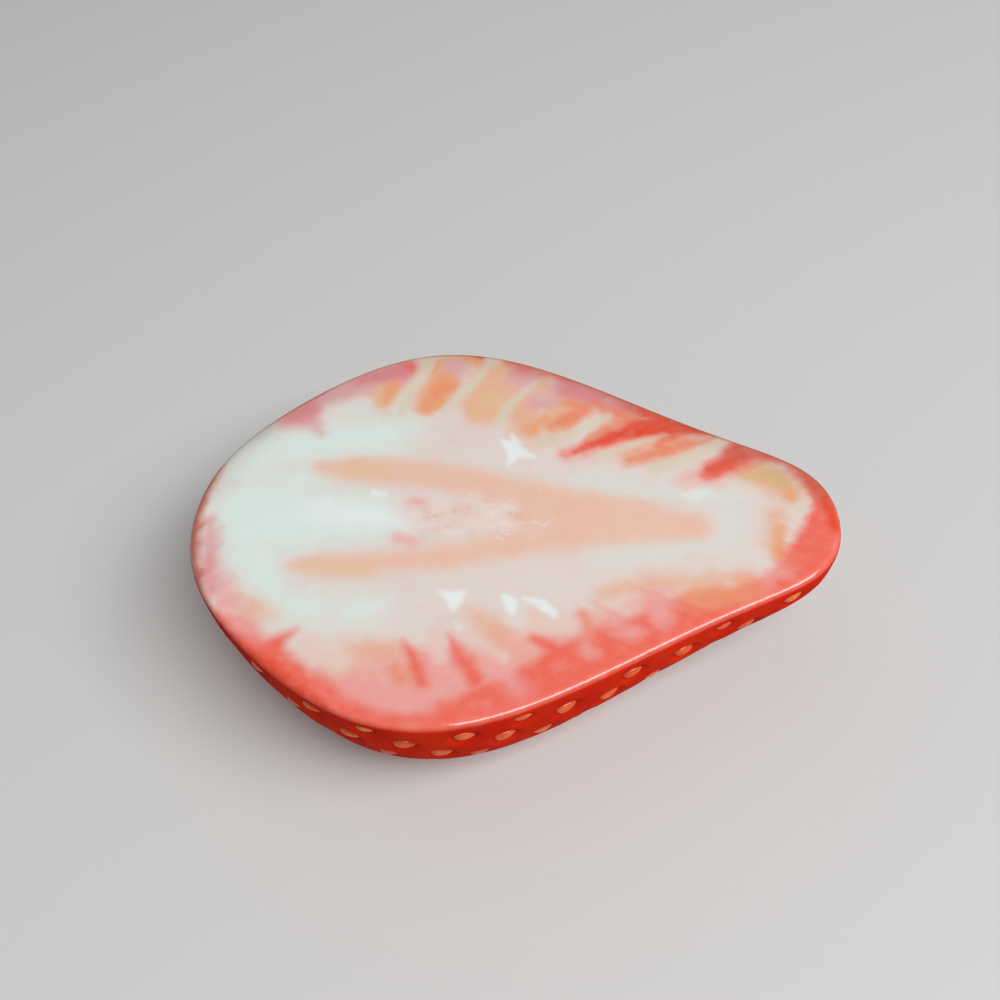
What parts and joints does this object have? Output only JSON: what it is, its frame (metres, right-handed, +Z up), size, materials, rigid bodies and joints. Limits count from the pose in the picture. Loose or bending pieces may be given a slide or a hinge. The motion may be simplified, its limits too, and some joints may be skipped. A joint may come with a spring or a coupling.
{
  "type": "halved strawberry",
  "caption": "Half of a strawberry without its leaves, cut lengthwise, lying on its seeded skin with the cut face up; one solid of fruit flesh.",
  "frame": {"origin": "on the surface that the half rests on, under the middle of its length and width", "axes": "+X from the stem end to the tip, +Z up and square to the cut face"},
  "size_m": [0.04, 0.0292, 0.0095],
  "materials": {
    "flesh": "moist and glossy, red skin with pale flesh on the cut face"
  },
  "bodies": {
    "root": {"strawberry_half": "flesh"}
  },
  "joints": []
}
